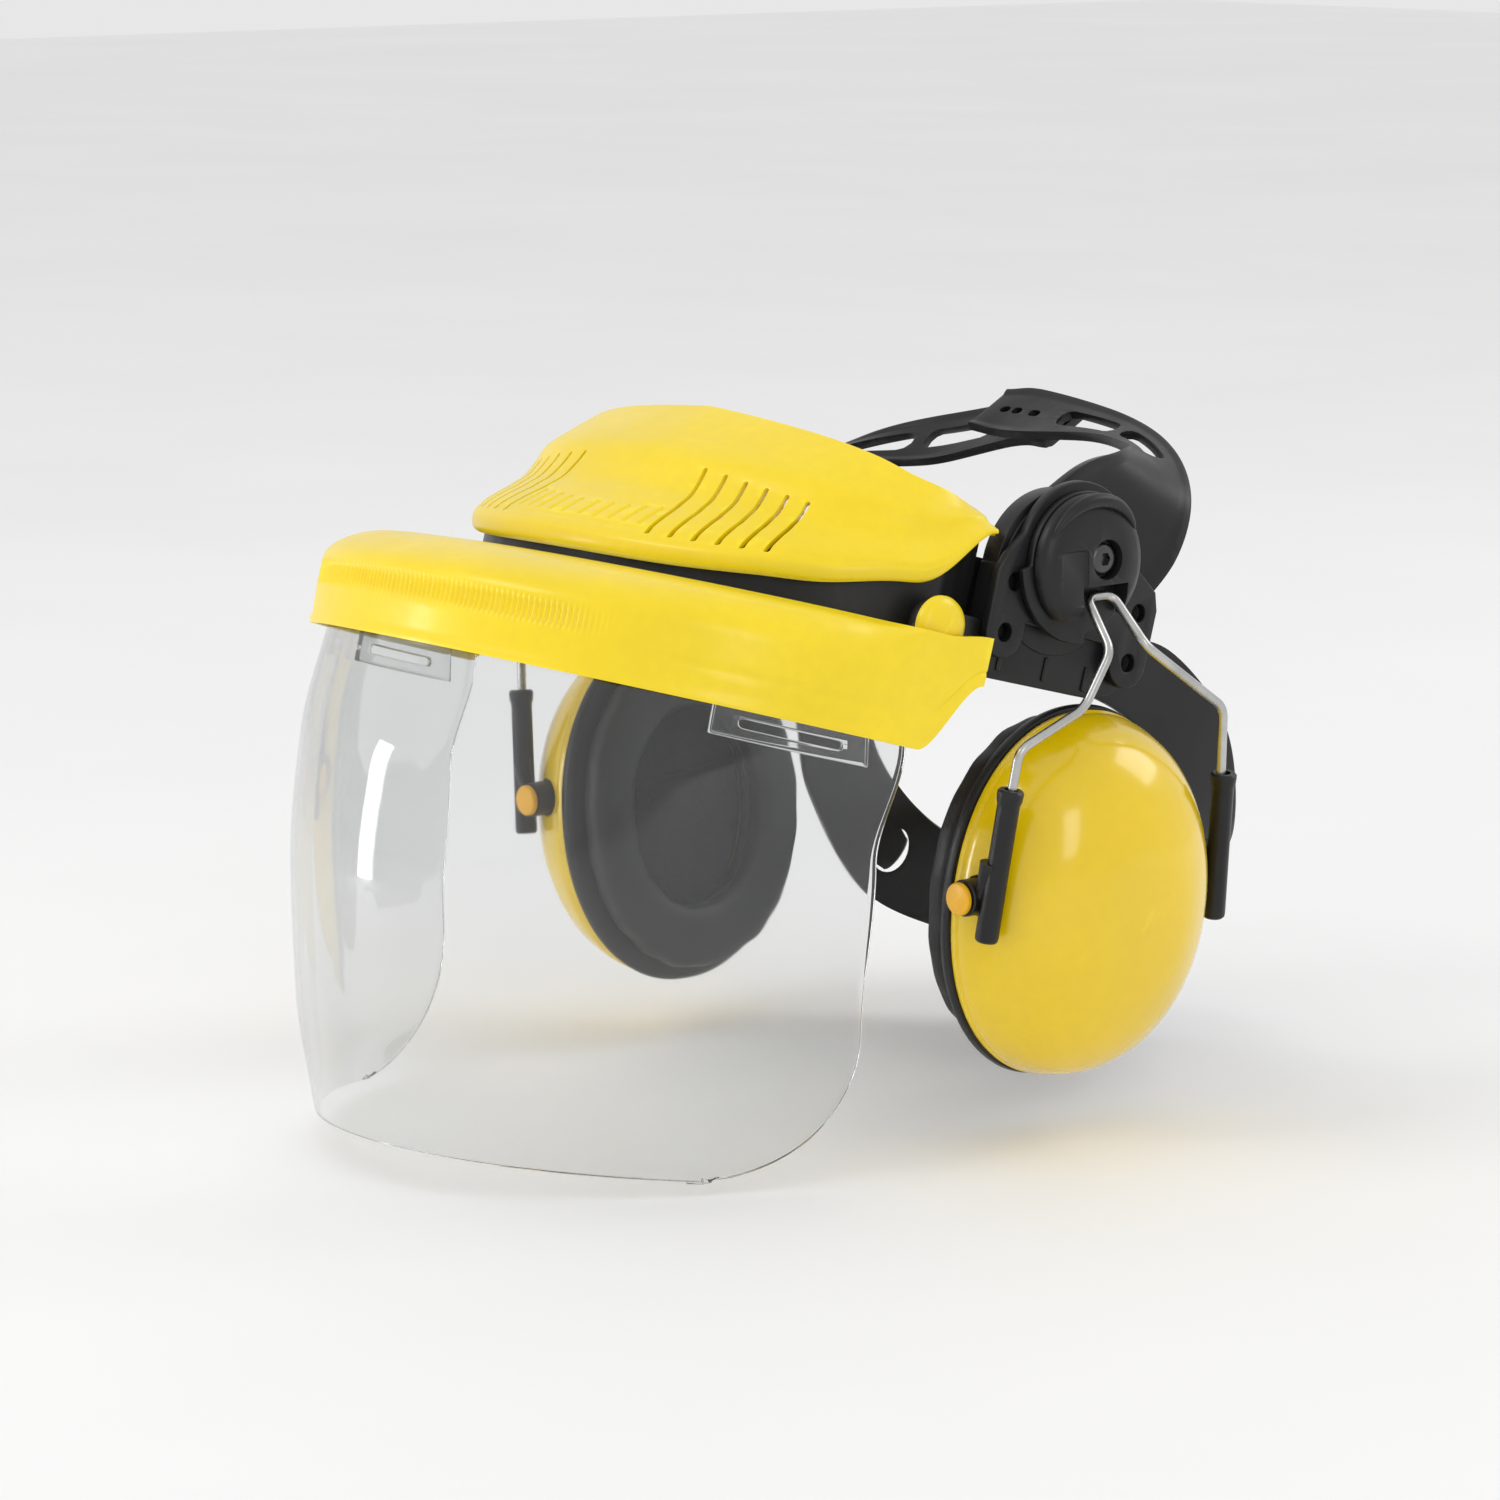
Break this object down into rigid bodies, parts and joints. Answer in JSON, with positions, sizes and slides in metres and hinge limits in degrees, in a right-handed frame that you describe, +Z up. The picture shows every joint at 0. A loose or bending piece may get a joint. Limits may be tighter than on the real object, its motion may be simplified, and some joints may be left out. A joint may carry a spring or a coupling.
{
  "type": "forestry helmet",
  "caption": "Head harness with a forehead cover, a hinged clear face shield, sprung ear cups and a ratchet nape strap.",
  "frame": {"origin": "midway between the two arm pivots of the side plates", "axes": "+X to the wearer's left, +Y to the back of the head, so the visor faces -Y, +Z up"},
  "size_m": [0.2468, 0.2908, 0.2018],
  "materials": {
    "yellow_shell": "satin moulded plastic",
    "cup_yellow": "glossy moulded plastic",
    "button_orange": "glossy moulded plastic",
    "black_plastic": "satin moulded plastic",
    "cushion_vinyl": "soft vinyl skin",
    "foam": "open foam with a fleece face",
    "steel_wire": "drawn stainless wire",
    "clear_screen": "clear polycarbonate"
  },
  "bodies": {
    "root": {"forehead_cover": "yellow_shell", "front_frame": "black_plastic", "sweatband": "foam", "side_plate_left": "black_plastic", "side_plate_right": "black_plastic", "accessory_plate_left": "black_plastic", "accessory_plate_right": "black_plastic", "hub_screw_left": "steel_wire", "hub_screw_right": "steel_wire", "crown_strap_left": "black_plastic", "crown_strap_right": "black_plastic", "nape_strap_left": "black_plastic", "nape_strap_right": "black_plastic", "hinge_bracket_left": "black_plastic", "hinge_bracket_right": "black_plastic", "nape_housing": "black_plastic", "nape_pad": "cushion_vinyl"},
    "visor": {"visor_frame": "yellow_shell", "visor_screen": "clear_screen", "visor_clip_left": "clear_screen", "visor_clip_right": "clear_screen", "hinge_knob_left": "yellow_shell", "hinge_knob_right": "yellow_shell"},
    "hub_left": {"hub_base_left": "black_plastic", "hub_cap_left": "black_plastic"},
    "arm_left": {"wire_fork_left": "steel_wire"},
    "slider_left": {"sleeve_front_left": "black_plastic", "sleeve_rear_left": "black_plastic"},
    "cup_left": {"cup_shell_left": "cup_yellow", "back_plate_left": "black_plastic", "ear_cushion_left": "cushion_vinyl", "foam_insert_left": "foam", "button_front_left": "button_orange", "button_rear_left": "button_orange"},
    "hub_right": {"hub_base_right": "black_plastic", "hub_cap_right": "black_plastic"},
    "arm_right": {"wire_fork_right": "steel_wire"},
    "slider_right": {"sleeve_front_right": "black_plastic", "sleeve_rear_right": "black_plastic"},
    "cup_right": {"cup_shell_right": "cup_yellow", "back_plate_right": "black_plastic", "ear_cushion_right": "cushion_vinyl", "foam_insert_right": "foam", "button_front_right": "button_orange", "button_rear_right": "button_orange"},
    "knob": {"ratchet_knob": "black_plastic", "ratchet_pinion": "steel_wire"},
    "left_rack": {"rack_left": "black_plastic"},
    "right_rack": {"rack_right": "black_plastic"}
  },
  "joints": [
    {"name": "visor_hinge", "type": "hinge", "parent": "root", "child": "visor", "pos_m": [0, -0.0551, -0.01437], "axis": [-1, 0, 0], "range_deg": [0, 92]},
    {"name": "arm_swing_left", "type": "hinge", "parent": "root", "child": "hub_left", "pos_m": [0.0967, 0, 0], "axis": [-1, 0, 0], "range_deg": [-2, 12]},
    {"name": "arm_lift_left", "type": "hinge", "parent": "hub_left", "child": "arm_left", "pos_m": [0.10135, 0, -0.0105], "axis": [0, -1, 0], "range_deg": [0, 28]},
    {"name": "cup_height_left", "type": "slide", "parent": "arm_left", "child": "slider_left", "axis": [-0.1478, 0, -0.989], "range_m": [0, 0.012]},
    {"name": "cup_tilt_left", "type": "hinge", "parent": "slider_left", "child": "cup_left", "pos_m": [0.09786, 0, -0.0912], "axis": [0, 1, 0], "range_deg": [-9, 4]},
    {"name": "arm_swing_right", "type": "hinge", "parent": "root", "child": "hub_right", "pos_m": [-0.0967, 0, 0], "axis": [-1, 0, 0], "range_deg": [-2, 12]},
    {"name": "arm_lift_right", "type": "hinge", "parent": "hub_right", "child": "arm_right", "pos_m": [-0.10135, 0, -0.0105], "axis": [0, 1, 0], "range_deg": [0, 28]},
    {"name": "cup_height_right", "type": "slide", "parent": "arm_right", "child": "slider_right", "axis": [0.1478, 0, -0.989], "range_m": [0, 0.012]},
    {"name": "cup_tilt_right", "type": "hinge", "parent": "slider_right", "child": "cup_right", "pos_m": [-0.09786, 0, -0.0912], "axis": [0, -1, 0], "range_deg": [-9, 4]},
    {"name": "ratchet_turn", "type": "hinge", "parent": "root", "child": "knob", "pos_m": [0, 0.1, -0.131], "axis": [0, 1, 0], "range_deg": [-64, 64]},
    {"name": "rack_slide_left", "type": "slide", "parent": "root", "child": "left_rack", "axis": [1, 0, 0], "range_m": [-0.007, 0.007]},
    {"name": "rack_slide_right", "type": "slide", "parent": "root", "child": "right_rack", "axis": [-1, 0, 0], "range_m": [-0.007, 0.007]}
  ],
  "couplings": [
    {"joint": "rack_slide_left", "follows": "ratchet_turn", "m_per_rad": 0.006},
    {"joint": "rack_slide_right", "follows": "ratchet_turn", "m_per_rad": 0.006}
  ]
}
